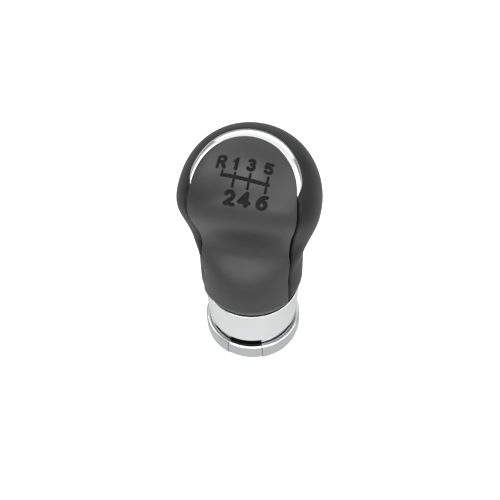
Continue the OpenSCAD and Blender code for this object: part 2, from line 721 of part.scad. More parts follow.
// Section of ring and panel: rounded outside, rolled upper lip, ledge on the slider's flange
module ring_section() {
    foot_r = ring_r - 0.4;
    polygon(concat(
        [[ring_in_r, 0], [foot_r - 0.4, 0], [foot_r, 0.4]],
        [for (a = [0:15:90]) [ring_r - 0.9 + 0.9 * cos(a), ring_h - 0.9 + 0.9 * sin(a)]],
        [[ring_in_r + 0.5, ring_h], [ring_in_r, ring_h - 0.5], [ring_in_r, ledge_z1], [ledge_r, ledge_z1],
         [ledge_r, ledge_z0], [ring_in_r, ledge_z0]]));
}
module ring_arc(from, to) {
    rotate(from) rotate_extrude(angle = to - from) ring_section();
}
seam_turn = seam / ring_r * 180 / PI;
module lift_ring() {
    color("gainsboro") ring_arc(panel_angle + seam_turn - 90, 270 - panel_angle - seam_turn);
}

// Panel between the two seams, scooped for the fingertip
module pull_panel() {
    color("silver") difference() {
        ring_arc(-90 - panel_angle, -90 + panel_angle);
        translate([0, scoop_depth - ring_r - scoop_r, 0]) rotate([0, 90, 0])
            cylinder(h = 2 * ring_r, r = scoop_r, center = true);
    }
}

// Open clip in the groove at the tube's foot, which keeps the slider on
module retaining_clip() {
    opening = 60;
    color("silver") rotate(90 + opening / 2) translate([0, 0, clip_z]) rotate_extrude(angle = 360 - opening)
        translate([tube_r - 0.3, 0]) square([hub_r - tube_r, clip_t]);
}

front_cover();
rear_shell();
arch_trim();
grip_core();
lever_insert();
damper_sleeve();
upper_shell_screw();
lower_shell_screw();
neck_seal();
collar_band();
band_carrier();
collar_screws();
spring_seat();
return_spring();
stop_bumper();
lift_sleeve();
lift_ring();
pull_panel();
retaining_clip();
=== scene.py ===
# Looks of the gear shift knob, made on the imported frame.
# The frame is in metres; sizes here are in millimetres and MM turns them into metres.
# +Z runs up the gear lever, the driver faces the knob from -Y.
import json
import math

import bmesh
import bpy
import numpy as np
from mathutils import Matrix, Vector

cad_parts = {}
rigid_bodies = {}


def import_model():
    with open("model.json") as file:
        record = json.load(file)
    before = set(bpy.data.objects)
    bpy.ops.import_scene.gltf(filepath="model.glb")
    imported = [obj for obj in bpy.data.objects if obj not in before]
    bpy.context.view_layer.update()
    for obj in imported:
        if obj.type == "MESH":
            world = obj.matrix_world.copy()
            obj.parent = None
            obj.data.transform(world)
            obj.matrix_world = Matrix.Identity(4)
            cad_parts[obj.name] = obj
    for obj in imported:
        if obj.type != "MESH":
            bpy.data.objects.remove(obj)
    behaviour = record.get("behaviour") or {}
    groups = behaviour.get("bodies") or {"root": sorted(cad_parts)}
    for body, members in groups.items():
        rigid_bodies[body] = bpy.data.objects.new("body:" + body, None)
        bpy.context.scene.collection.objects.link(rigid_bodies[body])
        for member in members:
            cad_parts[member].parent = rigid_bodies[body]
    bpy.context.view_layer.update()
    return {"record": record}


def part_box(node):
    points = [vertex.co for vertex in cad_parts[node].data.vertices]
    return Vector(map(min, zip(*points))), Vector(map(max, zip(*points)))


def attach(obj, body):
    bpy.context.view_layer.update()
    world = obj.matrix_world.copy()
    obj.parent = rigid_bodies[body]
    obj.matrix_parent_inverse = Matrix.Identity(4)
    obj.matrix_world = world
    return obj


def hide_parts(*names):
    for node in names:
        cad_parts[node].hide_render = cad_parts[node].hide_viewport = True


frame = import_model()
MM = 0.001

# Sizes, as in the part's source but for the cover's edge and the groove beside it
def node_box(node):
    """Corners of a solid's box, in millimetres."""
    low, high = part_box(node)
    return np.array(low) / MM, np.array(high) / MM


COLLAR_TOP = node_box("collar_band")[1][2]
RING_TOP = node_box("lift_ring")[1][2]
# Heights where the grip's outline changes
CROWN_Z = COLLAR_TOP + 67.2
HEAD_Z = COLLAR_TOP + 43.8
CHIN_Z = COLLAR_TOP + 53.1
WAIST_Z = COLLAR_TOP + 30.1
PINCH_Z = COLLAR_TOP + 16.5
NECK_Z = COLLAR_TOP + 17.6
BELL_Z = COLLAR_TOP + 6.1
SHELL_Z0 = COLLAR_TOP + 1.2
# Reaches of the grip's surface from the lever's axis, and the powers that square and skew it
COLLAR_REACH = 17.1
BELL_REACH, WAIST_REACH, CHIN_REACH = 18.4, 10.8, 17.2
NECK_BACK, HEAD_BACK, CROWN_BACK = 17.8, 24.0, 2.5
NECK_HALF_W, HEAD_HALF_W = 18.1, 23.7
FRONT_SQUARE, BELL_POWER = 0.9, 1.8
HEAD_CENTRE = np.array([0.0, 0.0, HEAD_Z])
# Wall, the cover's height over the shell, rounded edges, and the groove beside the cover
WALL = 2.0
PROUD = 0.6
EDGE, COVER_EDGE = 0.6, 0.35
LEDGE_DEEP, LEDGE_WIDE, RIM_ROUND = 1.5, 0.8, 1.1
SEAM = 0.2
HEM_HIGH, HEM_DEEP, HEM_LIFT = 5.0, 1.2, 0.35
# Turns of the cover's edge in degrees, its round end, and the arch round that end
COVER_BELL, COVER_PINCH, COVER_WAIST, COVER_HEAD = 53.0, 52.8, 56.0, 50.8
COVER_TILT, COVER_SPREAD, COVER_CORNER = 53.0, 45.0, 3.5
ARCH_TILT, ARCH_SPREAD, ARCH_CROWN, ARCH_T, ARCH_GRIP = 60.0, 51.0, 0.35, 1.2, 5.0
ARCH_FULL, TIP_SHARE = 74.0, 0.3
FAN_TILT, FAN_END = 56.0, 92.0
SEAM_TURN = math.degrees(SEAM / HEAD_HALF_W)
# The core's plate, and what stands on it: posts of the cover, bosses of the shell
PLATE_Y0, PLATE_Y1 = 2.0, 6.0
SEAT_GAP = 0.1
POST_X, POST_AHEAD, POST_Z, POST_R, STUD_R = 10.0, 14.0, COLLAR_TOP + 48.6, 2.5, 1.3
SCREW_Z = (COLLAR_TOP + 25.0, COLLAR_TOP + 43.8)
BOSS_R, BOSS_BORE, BORE_END = 2.8, 1.35, 1.0
# Steps of the meshes: on the pattern, and up the cover and the shell
DENSE, COVER_STEP, SHELL_STEP = 0.17, 0.9, 1.1
# The head's radius, half the cover's way across and the shell's way round, for such steps
HEAD_ROUND, COVER_ARC, SHELL_ARC = 24.0, 21.0, 87.0
# Degrees up the head where the dense rows start and end, and where the last row lies
HEAD_LOW, HEAD_END, HEAD_LAST = 30.0, 84.0, 89.4
# Search for the surface along a ray from the head's centre
RAY_NEAR, RAY_FAR, HALVINGS = 8.0, 32.0, 26
GRIP_MIDDLE = np.array([0, 3.0, 60.0])
TINY, FAR_AWAY = 1e-6, 1e9


# The grip's surface
def ease(t):
    """Smooth step from 0 to 1."""
    t = np.clip(t, 0, 1)
    return t * t * (3 - 2 * t)


def between(z, z0, v0, z1, v1):
    """Value that eases from v0 at z0 to v1 at z1."""
    return v0 + (v1 - v0) * ease((z - z0) / (z1 - z0))


def skewed(z, z0, v0, z1, v1, power):
    """The same, with the steepest place drawn towards z1."""
    return v0 + (v1 - v0) * ease(np.clip((z - z0) / (z1 - z0), 0, 1) ** power)


def dome(z, z0, v0, z1, v1):
    """Value that follows a quarter of an ellipse from v0 at z0 to v1 at z1."""
    return v1 + (v0 - v1) * np.sqrt(np.maximum(0, 1 - ((z - z0) / (z1 - z0)) ** 2))


def hem(z):
    """Depth by which the lower end of cover and shell rounds in."""
    t = np.clip((SHELL_Z0 + HEM_HIGH - z) / HEM_HIGH, 0, 1)
    return HEM_DEEP * (1 - np.sqrt(1 - t * t))


def front_reach(z, d):
    return np.select(
        [z < BELL_Z, z < WAIST_Z, z < CHIN_Z],
        [between(z, COLLAR_TOP, COLLAR_REACH, BELL_Z, BELL_REACH) - d,
         skewed(z, BELL_Z, BELL_REACH, WAIST_Z, WAIST_REACH, BELL_POWER) - d,
         between(z, WAIST_Z, WAIST_REACH, CHIN_Z, CHIN_REACH) - d],
        dome(z, CHIN_Z, CHIN_REACH - d, CROWN_Z - d, -CROWN_BACK))


def back_reach(z, d):
    return np.select(
        [z < BELL_Z, z < HEAD_Z],
        [between(z, COLLAR_TOP, COLLAR_REACH, BELL_Z, NECK_BACK) - d,
         between(z, NECK_Z, NECK_BACK, HEAD_Z, HEAD_BACK) - d],
        dome(z, HEAD_Z, HEAD_BACK - d, CROWN_Z - d, CROWN_BACK))


def side_reach(z, d):
    return np.select(
        [z < BELL_Z, z < HEAD_Z],
        [between(z, COLLAR_TOP, COLLAR_REACH, BELL_Z, NECK_HALF_W) - d,
         between(z, NECK_Z, NECK_HALF_W, HEAD_Z, HEAD_HALF_W) - d],
        dome(z, HEAD_Z, HEAD_HALF_W - d, CROWN_Z - d, 0))


def middle_y(z):
    return between(z, HEAD_Z, 0, CROWN_Z, CROWN_BACK)


def front_power(z):
    rise = between(z, NECK_Z - 3, 0, WAIST_Z, 1)
    return 2 + FRONT_SQUARE * rise * between(z, HEAD_Z + 3, 1, CROWN_Z - 3, 0)


def section(z, in_front, d):
    """Half width, reach from the middle and power of the level section at z."""
    middle = middle_y(z)
    reach = np.where(in_front, front_reach(z, d) + middle, back_reach(z, d) - middle)
    return side_reach(z, d), reach, np.where(in_front, front_power(z), 2.0)


def slice_point(z, turn, d=0.0):
    """Point of the surface at height z, turned from the front by turn degrees."""
    z, turn, d = np.broadcast_arrays(np.asarray(z, float), np.asarray(turn, float), np.asarray(d, float))
    sin, cos = np.sin(np.radians(turn)), np.cos(np.radians(turn))
    side, reach, power = section(z, cos >= 0, d)
    r = ((np.abs(sin) / side) ** power + (np.abs(cos) / reach) ** power) ** (-1 / power)
    return np.stack([r * sin, middle_y(z) - r * cos, z], -1)


def outside(p, d):
    """True where a point lies outside the surface at depth d."""
    z = p[..., 2]
    forward = middle_y(z) - p[..., 1]
    low = np.minimum(z, CROWN_Z - d - TINY)
    side, reach, power = section(low, forward >= 0, d)
    level = (np.abs(p[..., 0]) / np.maximum(side, TINY)) ** power
    level = level + (np.abs(forward) / np.maximum(reach, TINY)) ** power
    return (level > 1) | (z >= CROWN_Z - d)


def ray_point(v, d=0.0):
    """Point where the ray from the head's centre along v leaves the surface."""
    d = np.broadcast_to(np.asarray(d, float), v.shape[:-1])
    near, far = np.full(v.shape[:-1], RAY_NEAR), np.full(v.shape[:-1], RAY_FAR)
    for _ in range(HALVINGS):
        mid = (near + far) / 2
        out = outside(HEAD_CENTRE + mid[..., None] * v, d)
        near, far = np.where(out, near, mid), np.where(out, mid, far)
    return HEAD_CENTRE + ((near + far) / 2)[..., None] * v


def aim(e, w):
    """Direction from the head's centre: e degrees up from the front, w to the side."""
    e, w = np.radians(e), np.radians(w)
    return np.stack([np.sin(w), -np.cos(w) * np.cos(e), np.cos(w) * np.sin(e)], -1)


def turn_of(p):
    """Turn of a point from the front, in degrees."""
    return np.degrees(np.arctan2(p[..., 0], middle_y(p[..., 2]) - p[..., 1]))


def corner_cut(z):
    """Degrees by which the cover's lower corners round in."""
    t = np.clip((SHELL_Z0 + COVER_CORNER - z) / COVER_CORNER, 0, 1)
    return (1 - np.sqrt(1 - t * t)) * math.degrees(COVER_CORNER / NECK_HALF_W)


def straight_turn(z):
    return np.select([z < PINCH_Z, z < WAIST_Z],
                     [between(z, BELL_Z, COVER_BELL, PINCH_Z, COVER_PINCH),
                      between(z, PINCH_Z, COVER_PINCH, WAIST_Z, COVER_WAIST)],
                     between(z, WAIST_Z, COVER_WAIST, HEAD_Z, COVER_HEAD))


def cover_turn(z):
    return straight_turn(z) - corner_cut(z)


def cover_lean(e):
    """Side lean of the cover's edge in the head, which closes round at the top."""
    over = np.maximum(e - COVER_TILT, 0)
    ratio = math.cos(math.radians(COVER_SPREAD)) / np.cos(np.radians(over))
    round_end = np.degrees(np.arccos(np.minimum(1, ratio)))
    straight = COVER_HEAD + (COVER_SPREAD - COVER_HEAD) * e / COVER_TILT
    return np.where(e < COVER_TILT, straight, round_end)


def fan(b, t):
    """Direction fanned out round the arch's middle: turn b from straight up, lean t from it."""
    b, t, tilt = np.radians(b), np.radians(t), math.radians(FAN_TILT)
    up = np.stack([np.sin(b), np.cos(b) * math.sin(tilt), np.cos(b) * math.cos(tilt)], -1)
    ahead = np.array([0, -math.cos(tilt), math.sin(tilt)])
    return np.cos(t)[..., None] * ahead + np.sin(t)[..., None] * up


def fan_lean(b, tilt, spread):
    """Lean from the fan's middle to a round outline of that tilt and spread."""
    across = math.cos(math.radians(tilt - FAN_TILT))
    along = math.sin(math.radians(tilt - FAN_TILT)) * np.cos(np.radians(b))
    size = np.hypot(across, along)
    return np.degrees(np.arctan2(along, across) + np.arccos(math.cos(math.radians(spread)) / size))


def cover_fan(b):
    return fan_lean(b, COVER_TILT, COVER_SPREAD)


def arch_fan(b):
    """Outer edge of the arch, which comes near the cover at both tips."""
    t = np.clip((np.abs(b) - ARCH_FULL) / (FAN_END - ARCH_FULL), 0, 1)
    wide = TIP_SHARE + (1 - TIP_SHARE) * (1 - t * t)
    return cover_fan(b) + (fan_lean(b, ARCH_TILT, ARCH_SPREAD) - cover_fan(b)) * wide


# Mesh helpers
def grid_normals(grid):
    """Normals of a grid of points, turned away from the grip's middle."""
    along, across = np.gradient(grid, axis=0), np.gradient(grid, axis=1)
    n = np.cross(across, along)
    n /= np.maximum(np.linalg.norm(n, axis=-1, keepdims=True), 1e-12)
    return n if np.sum(n * (grid - GRIP_MIDDLE)) > 0 else -n


def path_distance(points, path):
    """Distance of each point to a polyline, in millimetres."""
    flat = points.reshape(-1, 3)
    best = np.full(len(flat), FAR_AWAY)
    for a, b in zip(path[:-1], path[1:]):
        v = b - a
        t = np.clip((flat - a) @ v / max(v @ v, 1e-12), 0, 1)
        best = np.minimum(best, np.linalg.norm(flat - a - t[:, None] * v, axis=1))
    return best.reshape(points.shape[:-1])


def round_drop(distance, radius):
    """Depth of a rounded edge at a distance from the edge."""
    t = np.clip(radius - distance, 0, radius)
    return radius - np.sqrt(radius * radius - t * t)


def slab_mesh(outer, inner_of, step):
    """Closed wall: a fine outer grid, and an inner grid that keeps every step-th row and column."""
    rows, cols = outer.shape[:2]
    keep_r = sorted(set(range(0, rows, step)) | {rows - 1})
    keep_c = sorted(set(range(0, cols, step)) | {cols - 1})
    inner = inner_of[np.ix_(keep_r, keep_c)]
    points = np.concatenate([outer.reshape(-1, 3), inner.reshape(-1, 3)])
    base, wide = rows * cols, len(keep_c)
    faces = [(r * cols + c, r * cols + c + 1, (r + 1) * cols + c + 1, (r + 1) * cols + c)
             for r in range(rows - 1) for c in range(cols - 1)]
    faces += [(base + r * wide + c, base + (r + 1) * wide + c, base + (r + 1) * wide + c + 1,
               base + r * wide + c + 1) for r in range(len(keep_r) - 1) for c in range(wide - 1)]
    for k in range(wide - 1):
        near = list(range(keep_c[k], keep_c[k + 1] + 1))
        faces.append(tuple([base + k, base + k + 1] + near[::-1]))
        low, top = base + (len(keep_r) - 1) * wide, (rows - 1) * cols
        faces.append(tuple([low + k + 1, low + k] + [top + c for c in near]))
    for k in range(len(keep_r) - 1):
        near = list(range(keep_r[k], keep_r[k + 1] + 1))
        faces.append(tuple([base + (k + 1) * wide, base + k * wide] + [r * cols for r in near]))
        faces.append(tuple([base + k * wide + wide - 1, base + (k + 1) * wide + wide - 1]
                           + [r * cols + cols - 1 for r in near[::-1]]))
    return points, faces


def rod_mesh(a, b, radius, bore=0.0, sides=40):
    """Rod from a to b; with a bore it is a tube, closed at the end b."""
    a, b = np.array(a, float), np.array(b, float)
    v = (b - a) / np.linalg.norm(b - a)
    x = np.cross(v, [0, 0, 1.0]) if abs(v[2]) < 0.9 else np.array([1.0, 0, 0])
    x /= np.linalg.norm(x)
    y = np.cross(v, x)
    t = np.radians(np.arange(sides) * 360 / sides)
    circle = np.cos(t)[:, None] * x + np.sin(t)[:, None] * y
    soft = min(0.2, radius / 4)
    rings = [a + (radius - soft) * circle, a + soft * v + radius * circle, b + radius * circle]
    if bore:
        rings = [b - BORE_END * v + bore * circle, a + bore * circle] + rings
    points = np.concatenate(rings)
    faces = [(k * sides + s, k * sides + (s + 1) % sides,
              (k + 1) * sides + (s + 1) % sides, (k + 1) * sides + s)
             for k in range(len(rings) - 1) for s in range(sides)]
    faces.append(tuple(range(sides))[::-1])
    faces.append(tuple((len(rings) - 1) * sides + s for s in range(sides)))
    return points, faces


def join_meshes(*parts):
    points, faces, base = [], [], 0
    for p, f in parts:
        points.append(np.asarray(p))
        faces += [tuple(i + base for i in face) for face in f]
        base += len(p)
    return np.concatenate(points), faces


def make_piece(name, mesh_parts, node, material, sharp=35, sunk=None):
    """Piece that rides on its node's body and takes the node's place; sunk carries the painted shade of its
    first points.
    """
    points, faces = mesh_parts
    mesh = bpy.data.meshes.new(name)
    mesh.from_pydata([tuple(p) for p in np.asarray(points) * MM], [], faces)
    mesh.update()
    work = bmesh.new()
    work.from_mesh(mesh)
    bmesh.ops.recalc_face_normals(work, faces=work.faces)
    work.to_mesh(mesh)
    work.free()
    mesh.polygons.foreach_set("use_smooth", [True] * len(mesh.polygons))
    mesh.set_sharp_from_angle(angle=math.radians(sharp))
    mesh.materials.append(material)
    # The sunk values are painted shade, which the cover's material reads to darken those points
    if sunk is not None:
        shade = mesh.attributes.new("sunk", "FLOAT", "POINT")
        shade.data.foreach_set("value", np.concatenate([sunk, np.zeros(len(points) - len(sunk))]))
    piece = bpy.data.objects.new(name, mesh)
    bpy.context.scene.collection.objects.link(piece)
    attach(piece, "lift" if node in frame["record"]["behaviour"]["bodies"]["lift"] else "grip")
    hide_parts(node)


def fillet(corners, segments=6):
    """Closed outline from (x, y, radius) corners, each rounded by its radius."""
    out = []
    n = len(corners)
    for i, (x, y, r) in enumerate(corners):
        p = np.array([x, y])
        a, b = np.array(corners[i - 1][:2]) - p, np.array(corners[(i + 1) % n][:2]) - p
        la, lb = np.linalg.norm(a), np.linalg.norm(b)
        a, b = a / la, b / lb
        half = math.acos(max(-1, min(1, float(a @ b)))) / 2
        cut = min(r / math.tan(half) if half < 1.57 else 0, la / 2, lb / 2)
        if cut < 1e-4:
            out.append(p)
            continue
        r = cut * math.tan(half)
        mid = (a + b) / np.linalg.norm(a + b)
        centre = p + mid * r / math.sin(half)
        start, end = p + a * cut - centre, p + b * cut - centre
        sweep = math.atan2(start[0] * end[1] - start[1] * end[0], float(start @ end))
        for k in range(segments + 1):
            t = sweep * k / segments
            out.append(centre + np.array([start[0] * math.cos(t) - start[1] * math.sin(t),
                                          start[0] * math.sin(t) + start[1] * math.cos(t)]))
    return np.array(out)


# Half the gap, in degrees, between the two columns at a break
BREAK = 0.03


def revolve(outline, start, end, steps, carve=None, breaks=()):
    """Sweep an outline (radius, height) round Z from start to end degrees; 0 is the driver's side."""
    whole = abs(end - start) >= 360
    turns = np.linspace(start, end, steps + 1)[: steps if whole else steps + 1]
    turns = np.sort(np.concatenate([turns] + [[b - BREAK, b + BREAK] for b in breaks]))
    t = np.radians(turns)[:, None]
    r, z = outline[:, 0][None, :], outline[:, 1][None, :]
    grid = np.stack([r * np.sin(t), -r * np.cos(t), z + 0 * t], -1)
    if carve is not None:
        grid = carve(grid)
    n, m = grid.shape[0], grid.shape[1]
    faces = [(k * m + s, ((k + 1) % n) * m + s, ((k + 1) % n) * m + (s + 1) % m, k * m + (s + 1) % m)
             for k in range(n if whole else n - 1) for s in range(m)]
    if not whole:
        faces.append(tuple(range(m))[::-1])
        faces.append(tuple((n - 1) * m + s for s in range(m)))
    return grid.reshape(-1, 3), faces


# Procedural materials
def new_material(name):
    material = bpy.data.materials.new(name)
    material.use_nodes = True
    tree = material.node_tree
    return material, tree, tree.nodes["Principled BSDF"]


def noise(tree, scale, detail=3.0, stretch=(1, 1, 1)):
    place = tree.nodes.new("ShaderNodeTexCoord")
    mapping = tree.nodes.new("ShaderNodeMapping")
    mapping.inputs["Scale"].default_value = stretch
    texture = tree.nodes.new("ShaderNodeTexNoise")
    texture.inputs["Scale"].default_value = scale
    texture.inputs["Detail"].default_value = detail
    tree.links.new(place.outputs["Object"], mapping.inputs["Vector"])
    tree.links.new(mapping.outputs["Vector"], texture.inputs["Vector"])
    return texture


def ramp(tree, source, low, high, start=0.35, end=0.65):
    node = tree.nodes.new("ShaderNodeValToRGB")
    for stop, position, colour in zip(node.color_ramp.elements, (start, end), (low, high)):
        stop.position, stop.color = position, (*colour, 1)
    tree.links.new(source, node.inputs["Fac"])
    return node


def bump(tree, source, bsdf, strength, distance):
    node = tree.nodes.new("ShaderNodeBump")
    node.inputs["Strength"].default_value = strength
    node.inputs["Distance"].default_value = distance
    tree.links.new(source, node.inputs["Height"])
    tree.links.new(node.outputs["Normal"], bsdf.inputs["Normal"])


def surface(name, low, high, rough, metallic=0.0, grain=2500.0, height=0.00001, strength=0.3,
            patches=60.0, stretch=(1, 1, 1), specular=0.5):
    """Colour varies over patches, roughness with it, and a fine grain bumps the surface."""
    material, tree, bsdf = new_material(name)
    broad = noise(tree, patches, 4.0, stretch)
    fine = noise(tree, grain, 2.0, stretch)
    colour = ramp(tree, broad.outputs["Fac"], low, high)
    tree.links.new(colour.outputs["Color"], bsdf.inputs["Base Color"])
    gloss = ramp(tree, broad.outputs["Fac"], (rough[0],) * 3, (rough[1],) * 3)
    tree.links.new(gloss.outputs["Color"], bsdf.inputs["Roughness"])
    bsdf.inputs["Metallic"].default_value = metallic
    bsdf.inputs["Specular IOR Level"].default_value = specular
    bump(tree, fine.outputs["Fac"], bsdf, strength, height)
    return material


soft_cover = surface("soft_touch_cover", (0.015, 0.015, 0.016), (0.018, 0.018, 0.019), (0.38, 0.44),
                     grain=5200, height=0.00002, strength=0.2, specular=0.66)
# The shell's colour is its own black, set darker than the cover's as painted shade for the recessed groove
# beside the cover
soft_shell = surface("soft_touch_shell", (0.010, 0.010, 0.011), (0.013, 0.013, 0.014), (0.42, 0.48),
                     grain=5200, height=0.00002, strength=0.2, specular=0.25)
plated = surface("bright_plating", (0.84, 0.845, 0.85), (0.87, 0.875, 0.88), (0.07, 0.10), metallic=1.0,
                 grain=900, height=0.000004, strength=0.05)
satin = surface("satin_plating", (0.55, 0.555, 0.56), (0.58, 0.585, 0.59), (0.15, 0.19), metallic=1.0,
                grain=1500, height=0.000006, strength=0.08)
# In the sunk strokes the cover is left rough, and its colour is painted nearly black as painted shade for
# the shade that falls in the strokes
tree = soft_cover.node_tree
painted_stroke_shade = tree.nodes.new("ShaderNodeAttribute")
painted_stroke_shade.attribute_name = "sunk"
for socket, low in (("Base Color", 0.002), ("Roughness", 0.95)):
    into = tree.nodes["Principled BSDF"].inputs[socket]
    blend = tree.nodes.new("ShaderNodeMix")
    blend.data_type = "RGBA"
    blend.inputs["B"].default_value = (low, low, low, 1)
    tree.links.new(into.links[0].from_socket, blend.inputs["A"])
    tree.links.new(painted_stroke_shade.outputs["Fac"], blend.inputs["Factor"])
    tree.links.new(blend.outputs["Result"], into)
moulded = surface("moulded_black", (0.022, 0.022, 0.023), (0.030, 0.030, 0.031), (0.45, 0.6), grain=3000,
                  height=0.00002, strength=0.4)
turned = surface("turned_steel", (0.42, 0.42, 0.43), (0.52, 0.52, 0.53), (0.25, 0.36), metallic=1.0,
                 grain=900, height=0.00001, strength=0.3, stretch=(1, 1, 14))
drawn = surface("drawn_wire", (0.34, 0.34, 0.35), (0.45, 0.45, 0.46), (0.28, 0.38), metallic=1.0,
                grain=2500, height=0.00001, strength=0.3)
rubber = surface("black_rubber", (0.012, 0.012, 0.012), (0.018, 0.018, 0.018), (0.62, 0.78), grain=4000,
                 height=0.00002, strength=0.4, specular=0.35)

slot_looks = {"core_plastic": moulded, "steel": turned, "spring_steel": drawn, "black_rubber": rubber,
              "soft_cover": soft_cover, "soft_shell": soft_shell, "bright_trim": plated, "satin_ring": satin}
for part in frame["record"]["subparts"]:
    solid = bpy.data.objects[part["node"]]
    for socket in solid.material_slots:
        socket.material = slot_looks[part["material_slot"]]

# The sunk shift pattern
# Places are millimetres on the cover: across from the pattern's middle, up along the head.
# The pattern's middle lies 1.0 to the right, and the pattern is turned a little, as in the photograph.
PATTERN_ACROSS, PATTERN_TILT, PATTERN_TURN = 1.0, 59.2, 4.4
HEAD_ARC = 23.4
# Depth of the strokes, their widths, and how sharp their walls are
SUNK = 0.8
TOP_STROKE, LOW_STROKE, BAR_STROKE, GATE_STROKE = 0.95, 1.15, 1.05, 0.6
SHARP_WALL = 0.16
WALL_RUN = SHARP_WALL * 1.6
PATTERN_LOW = HEAD_Z + 5
BAR = ((-7.6, 0.75), (6.95, 0.25))
# Each character: its middle across and up, its width and height
PLACES = {
    "R": (-8.6, 5.1, 3.4, 4.5), "1": (-3.8, 4.9, 2.6, 4.2), "3": (0.8, 5.35, 2.9, 4.2),
    "5": (6.1, 5.7, 3.1, 4.1), "2": (-3.8, -6.1, 3.8, 5.3), "4": (0.8, -5.85, 4.2, 5.3),
    "6": (6.2, -5.95, 3.7, 5.3),
}
# Gate lines from the bar: where they stand across, and how far up or down they end
GATES = {
    "R": (-7.6, 2.2), "1": (-3.5, 1.9), "3": (1.2, 2.4), "5": (6.6, 2.8),
    "2": (-3.5, -2.6), "4": (1.2, -2.4), "6": (6.6, -2.5),
}


def arc(cx, cy, rx, ry, start, end, n=10):
    """Points on an ellipse from start to end degrees."""
    t = np.radians(np.linspace(start, end, n + 1))
    return list(zip(cx + rx * np.cos(t), cy + ry * np.sin(t)))


# Each character is a list of strokes in a box from (-0.5, 0) to (0.5, 1)
GLYPHS = {
    "R": [[(-0.42, 0), (-0.42, 1), (0.12, 1)] + arc(0.12, 0.75, 0.33, 0.25, 90, -90) + [(-0.42, 0.5)],
          [(0.05, 0.5), (0.5, 0)]],
    "1": [[(-0.35, 0.74), (0.08, 1), (0.08, 0)]],
    "3": [arc(0, 0.76, 0.4, 0.24, 150, -90), arc(0, 0.27, 0.47, 0.27, 90, -150)],
    "5": [[(0.4, 1), (-0.32, 1), (-0.4, 0.54)], arc(0, 0.32, 0.46, 0.32, 140, -145)],
    "2": [arc(0, 0.7, 0.45, 0.3, 165, -35) + [(-0.48, 0), (0.5, 0)]],
    "4": [[(0.22, 0), (0.22, 1), (-0.5, 0.27), (0.5, 0.27)]],
    "6": [arc(0.02, 0.33, 0.46, 0.33, 0, 360, 20), arc(0.5, 0.36, 0.94, 0.64, 180, 92)],
}

# The pattern as strokes with their widths: the bar, the characters and the gate lines
pattern = [(BAR_STROKE, list(BAR))]
for char, (across, up, wide, high) in PLACES.items():
    width = TOP_STROKE if up > 0 else LOW_STROKE
    pattern += [(width, [(across + x * (wide - width), up + (y - 0.5) * (high - width))
                         for x, y in stroke]) for stroke in GLYPHS[char]]
for across, end in GATES.values():
    share = (across - BAR[0][0]) / (BAR[1][0] - BAR[0][0])
    on_bar = BAR[0][1] + (BAR[1][1] - BAR[0][1]) * share
    pattern.append((GATE_STROKE, [(across, on_bar), (across, end)]))


def pattern_place(points):
    """Places of surface points in the pattern's own directions."""
    rise = np.degrees(np.arctan2(points[..., 2] - HEAD_Z, -points[..., 1]))
    dx = points[..., 0] - PATTERN_ACROSS
    dy = np.radians(rise - PATTERN_TILT) * HEAD_ARC
    cos, sin = math.cos(math.radians(PATTERN_TURN)), math.sin(math.radians(PATTERN_TURN))
    return np.stack([dx * cos - dy * sin, dx * sin + dy * cos], -1)


def pattern_depth(points):
    """Depth of the sunk strokes at surface points."""
    place = pattern_place(points)
    best = np.full(place.shape[:-1], FAR_AWAY)
    for width, stroke in pattern:
        for a, b in zip(stroke[:-1], stroke[1:]):
            a, b = np.array(a), np.array(b)
            v = b - a
            t = np.clip(((place - a) @ v) / max(v @ v, 1e-12), 0, 1)
            from_line = np.linalg.norm(place - a - t[..., None] * v, axis=-1)
            best = np.minimum(best, from_line - width / 2)
    depth = SUNK * ease((SHARP_WALL / 2 - best) / WALL_RUN)
    return np.where(points[..., 2] > PATTERN_LOW, depth, 0)


# Rows of cover and shell
def level_rows(step):
    """Heights of the level sections, close together in the rounded hem."""
    hem_rows = HEM_HIGH * (1 - np.cos(np.radians(np.arange(0, 90, 6.0))))
    hem_rows = np.maximum(hem_rows, HEM_LIFT + 0.01 * np.arange(len(hem_rows)))
    return SHELL_Z0 + np.concatenate([hem_rows, np.arange(HEM_HIGH, HEAD_Z - SHELL_Z0, step)])


# Front cover. Rows up the head: wide, then dense under the pattern, then closing in on the cover's round end
last_t = math.degrees(math.asin((HEAD_END - COVER_TILT) / COVER_SPREAD))
closing = np.sin(np.radians(np.linspace(last_t, HEAD_LAST, 44)))
head_e = np.concatenate([np.arange(0, HEAD_LOW, 2.0),
                         np.arange(HEAD_LOW, HEAD_END, np.degrees(DENSE / HEAD_ROUND)),
                         COVER_TILT + COVER_SPREAD * closing])
# Columns across the cover, from edge (-1) to edge (1)
edge_u = np.array([0, 0.0009, 0.0035, 0.0075, 0.0125, 0.019, 0.0285, 0.045, 0.075])
columns = np.concatenate([
    -1 + edge_u, np.arange(-0.88, -0.57, 0.04), np.arange(-0.55, 0.64, DENSE / COVER_ARC),
    np.arange(0.67, 0.89, 0.04), (1 - edge_u)[::-1]])
z_grid, neck_u = np.meshgrid(level_rows(COVER_STEP), columns, indexing="ij")
e_grid, head_u = np.meshgrid(head_e, columns, indexing="ij")


def cover_surface(depth):
    """Grid of the cover at a depth under the grip's surface."""
    return np.concatenate([slice_point(z_grid, neck_u * cover_turn(z_grid), depth),
                           ray_point(aim(e_grid, head_u * cover_lean(e_grid)), depth)])


